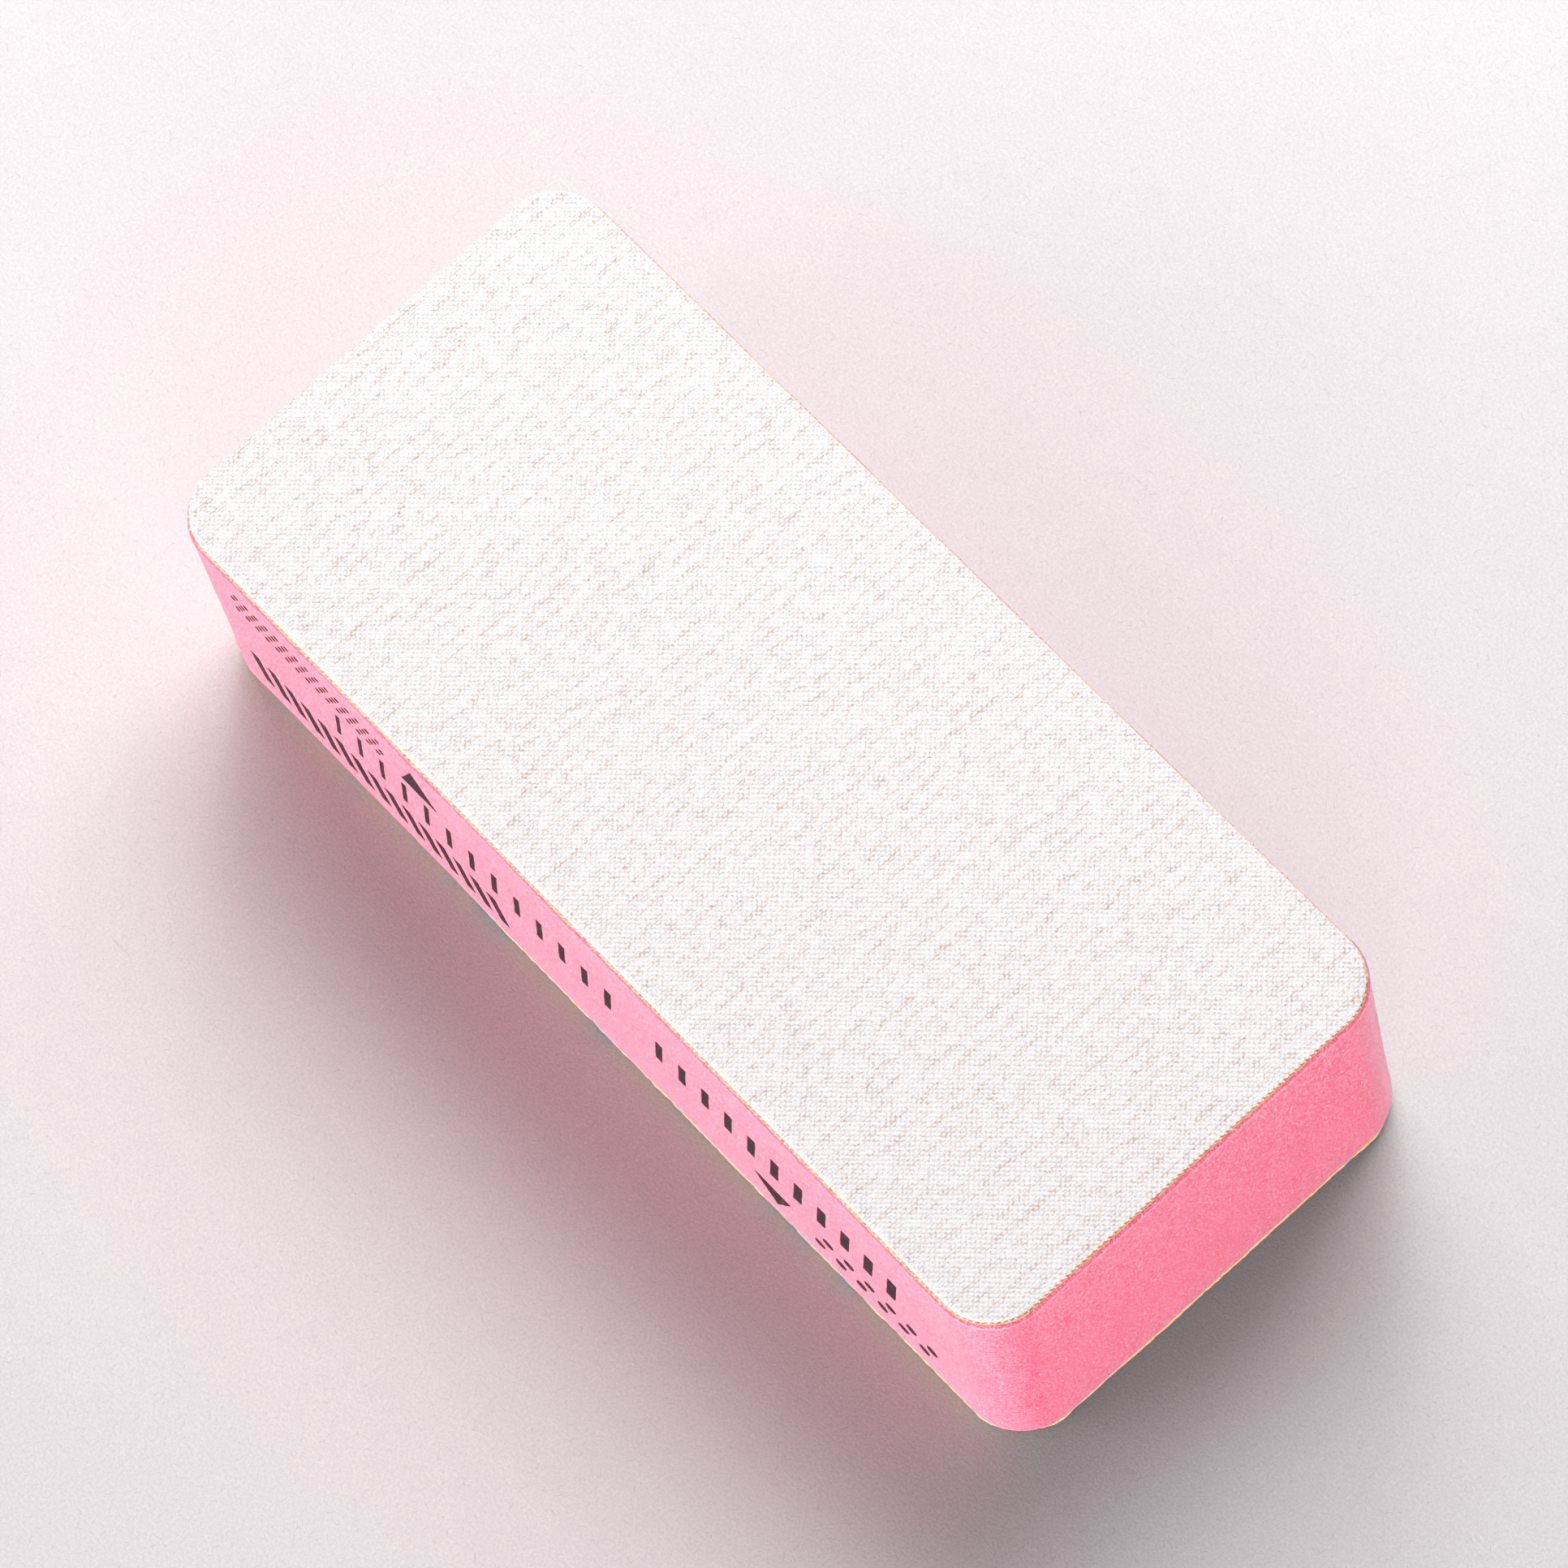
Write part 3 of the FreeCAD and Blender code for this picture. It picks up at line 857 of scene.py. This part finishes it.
def grit_finish():
    """Grey mineral grains: each a slightly different grey, with painted glints as pale specks."""
    material, tree, shader = new_finish("mineral_grit", 0.55)
    place = add(tree, "ShaderNodeTexCoord").outputs["Object"]
    grains = add(tree, "ShaderNodeTexVoronoi", {"Vector": place, "Scale": 1 / grit_size})
    tone = add(tree, "ShaderNodeSeparateColor", {0: grains.outputs["Color"]}).outputs[0]
    shade = tinted(tree, tone, colour(84, 90, 96), colour(132, 138, 142))
    # Painted glints: pale specks on the grains.
    glint = between(tree, speckle(tree, place, 0.18 * MM, 2.0, 0.7), 0.62, 0.74)
    shade = tinted(tree, maths(tree, "MULTIPLY", glint, 0.6), shade, colour(178, 186, 190))
    tree.links.new(shade, shader.inputs["Base Color"])
    chips = speckle(tree, place, 0.12 * MM, 3.0, 0.7)
    bump = add(tree, "ShaderNodeBump", {"Height": chips, "Strength": 0.7, "Distance": 0.05 * MM})
    tree.links.new(bump.outputs[0], shader.inputs["Normal"])
    return material


resin = edge_band("bottom_resin_edge", "bottom_resin_coat", 0.06 * MM, 0.10 * MM, 33, True)
smooth(resin)
resin.data.materials.append(resin_finish())
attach(resin, "root")
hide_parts("bottom_resin_coat")

grit_low, grit_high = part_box("bottom_grit_coat")


def grain_tops(places):
    """Height of the grains above the table at each place: tilted flats that meet in sharp valleys."""
    heights = []
    for place in places:
        distances, centres = noise.voronoi(Vector(place) / grit_size)
        tilt = noise.cell_vector(centres[0] * 3.7)
        lean = (Vector(place) / grit_size - centres[0]).dot(tilt - Vector((0.5, 0.5, 0.5)))
        stand = 0.25 + 0.75 * noise.cell(centres[0] * 5.1)
        valley = min(1.0, (distances[1] - distances[0]) * 2.6)
        heights.append(valley * max(0.1, stand + 0.9 * lean))
    return np.clip(heights, 0, 1)


grit_grid = face_grid(-coat_inset, 0.26 * MM, 150)
grit_places = np.column_stack([grit_grid.reshape(-1, 2), np.zeros(grit_grid.size // 2)])
grit_surface = grit_high.z - (grit_high.z - grit_low.z) * grain_tops(grit_places)
grit_face = faced_slab("bottom_grit_face", grit_grid, grit_surface, grit_high.z, False)
mineral = grit_finish()
grit_face.data.materials.append(mineral)
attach(grit_face, "root")
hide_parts("bottom_grit_coat")


def grain_mesh():
    """One sharp mineral grain: a lopsided eight-sided crystal."""
    tips = [(0.17, 0.02, 0.01), (-0.14, -0.03, 0.02), (0.02, 0.15, -0.02), (-0.02, -0.16, 0.0),
            (0.03, 0.01, 0.11), (-0.01, -0.02, -0.12)]
    faces = [(0, 2, 4), (2, 1, 4), (1, 3, 4), (3, 0, 4), (2, 0, 5), (1, 2, 5), (3, 1, 5), (0, 3, 5)]
    mesh = bpy.data.meshes.new("grain")
    mesh.from_pydata([[length * MM for length in tip] for tip in tips], [], faces)
    return mesh


grain = bpy.data.objects.new("grain", grain_mesh())
grain_line = outline_points("grain_line", 0.30 * MM, -0.12 * MM, grit_high.z - 0.06 * MM, 0.05 * MM, 6)
edge_grains = pieces_along_edge("bottom_grit_edge_grains", grain_line, grain, mineral, {"Tilt": 0.9})
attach(edge_grains, "root")
bpy.data.objects.remove(grain_line)
bpy.data.objects.remove(grain)


# ---- Table, light and camera ----
# The block lies on a sheet of pale uncoated paper. Two soft lamps stand behind it, one high and one
# low, and three wide low ones fill the long side, the near corner and the short side. The rest of
# the light is even, from all round.


def hairs_on_paper(tree, place, spacing, length, half_width, share):
    """1 on short, slightly bowed hairs: at most one in each cell about a spacing across."""
    scattered = {"Vector": place, "Scale": 1 / spacing}
    cells = add(tree, "ShaderNodeTexVoronoi", scattered, voronoi_dimensions="2D")
    draw = add(tree, "ShaderNodeSeparateColor", {0: cells.outputs["Color"]}).outputs
    away = add(tree, "ShaderNodeVectorMath", {0: place, 1: cells.outputs["Position"]}, operation="SUBTRACT")
    turn = maths(tree, "MULTIPLY", draw[0], 2 * math.pi)
    turning = {"Vector": away.outputs[0], "Angle": turn}
    turned = add(tree, "ShaderNodeVectorRotate", turning, rotation_type="Z_AXIS")
    parts = add(tree, "ShaderNodeSeparateXYZ", {0: turned.outputs[0]}).outputs
    bend = maths(tree, "MULTIPLY", maths(tree, "SUBTRACT", draw[1], 0.5), 0.7 / length)
    bow = maths(tree, "MULTIPLY", maths(tree, "MULTIPLY", parts["X"], parts["X"]), bend)
    across = maths(tree, "ABSOLUTE", maths(tree, "SUBTRACT", parts["Y"], bow))
    reach = maths(tree, "ABSOLUTE", parts["X"])
    limit = maths(tree, "MULTIPLY", draw[1], length)
    hair = maths(tree, "MULTIPLY", between(tree, across, half_width, 0.3 * half_width),
                 maths(tree, "LESS_THAN", reach, limit))
    return maths(tree, "MULTIPLY", hair, maths(tree, "LESS_THAN", draw[2], share))


def paper_finish():
    """Pale felted paper: a fine tooth, with short dark hairs and some pale ones."""
    material, tree, shader = new_finish("pale_paper", 0.9, Specular_IOR_Level=0.2)
    place = add(tree, "ShaderNodeTexCoord").outputs["Object"]
    tooth = speckle(tree, place, 0.24 * MM, 4.0, 0.85)
    cloud = speckle(tree, place, 2.5 * MM, 3.0, 0.6)
    shade = tinted(tree, between(tree, tooth, 0.30, 0.70), colour(211, 207, 210), colour(233, 229, 229))
    clouded = maths(tree, "MULTIPLY", between(tree, cloud, 0.35, 0.65), 0.20)
    shade = tinted(tree, clouded, shade, colour(215, 212, 215))
    # Spacing, length and half width in mm, share of the cells that hold a hair, strength, colour.
    for spacing, length, half_width, share, strength, tint in (
        (1.1, 0.34, 0.026, 0.5, 0.36, colour(112, 118, 136)),
        (1.9, 0.60, 0.024, 0.5, 0.30, colour(132, 134, 150)),
        (1.3, 0.45, 0.026, 0.5, 0.40, colour(250, 248, 252)),
    ):
        offset = add(tree, "ShaderNodeVectorMath", {0: place, 1: (spacing, length, 0.0)}).outputs[0]
        hair = hairs_on_paper(tree, offset, spacing * MM, length * MM, half_width * MM, share)
        shade = tinted(tree, maths(tree, "MULTIPLY", hair, strength), shade, tint)
    tree.links.new(shade, shader.inputs["Base Color"])
    bump = add(tree, "ShaderNodeBump", {"Height": tooth, "Strength": 0.5, "Distance": 0.05 * MM})
    tree.links.new(bump.outputs[0], shader.inputs["Normal"])
    return material


table_half = 2
table_corners = [(table_half * x, table_half * y, 0) for x, y in ((-1, -1), (1, -1), (1, 1), (-1, 1))]
table_mesh = bpy.data.meshes.new("table_top")
table_mesh.from_pydata(table_corners, [], [(0, 1, 2, 3)])
table = bpy.data.objects.new("table_top", table_mesh)
bpy.context.scene.collection.objects.link(table)
table.data.materials.append(paper_finish())

view_aim = Vector((-1.4, 0.9, 12.7)) * MM
view_azimuth = math.radians(-25.03)
view_elevation = math.radians(67.18)
view_roll = math.radians(-18.20)
view_distance = 677.4 * MM
back = Vector((
    math.cos(view_elevation) * math.cos(view_azimuth),
    math.cos(view_elevation) * math.sin(view_azimuth),
    math.sin(view_elevation),
))
camera = bpy.data.objects.new("camera", bpy.data.cameras.new("camera"))
camera.data.sensor_width = 36
camera.data.lens = 209.4
camera.location = view_aim + back * view_distance
camera.rotation_mode = "QUATERNION"
camera.rotation_quaternion = (-back).to_track_quat("-Z", "Y") @ Quaternion((0, 0, 1), view_roll)
bpy.context.scene.collection.objects.link(camera)
bpy.context.scene.camera = camera


def soft_lamp(name, azimuth, elevation, distance, size, watts, bounces=12):
    """A soft lamp aimed at the block, placed by angles from +X and from the table, in degrees."""
    turn, rise = math.radians(azimuth), math.radians(elevation)
    way = Vector((math.cos(rise) * math.cos(turn), math.cos(rise) * math.sin(turn), math.sin(rise)))
    light = bpy.data.lights.new(name, "AREA")
    light.shape = "RECTANGLE"
    light.size, light.size_y = size
    light.energy = watts
    light.cycles.max_bounces = bounces
    lamp = bpy.data.objects.new(name, light)
    lamp.location = way * distance
    lamp.rotation_mode = "QUATERNION"
    lamp.rotation_quaternion = (-way).to_track_quat("-Z", "Y")
    bpy.context.scene.collection.objects.link(lamp)


# Angles in degrees, distance and size in metres, power in watts. A lamp with 0 bounces lights
# surfaces only directly, so it carries none of the foam's pink onto the table.
soft_lamp("key_lamp_high", 120, 52, 0.56, (0.35, 0.35), 2.70, 0)
soft_lamp("key_lamp_low", 150, 32, 0.60, (0.376, 0.376), 1.98)
soft_lamp("long_side_fill", -120, 3.2, 0.8, (0.5, 0.08), 6.4)
soft_lamp("corner_fill", -60, 3.2, 0.8, (0.5, 0.08), 1.6, 0)
soft_lamp("short_side_fill", -30, 5.5, 0.8, (0.5, 0.08), 6.9, 0)
surround = bpy.data.worlds.new("surround")
surround.use_nodes = True
surround.node_tree.nodes["Background"].inputs["Color"].default_value = (1.0, 0.95, 1.0, 1.0)
surround.node_tree.nodes["Background"].inputs["Strength"].default_value = 0.175
bpy.context.scene.world = surround
bpy.context.scene.view_settings.view_transform = "Standard"
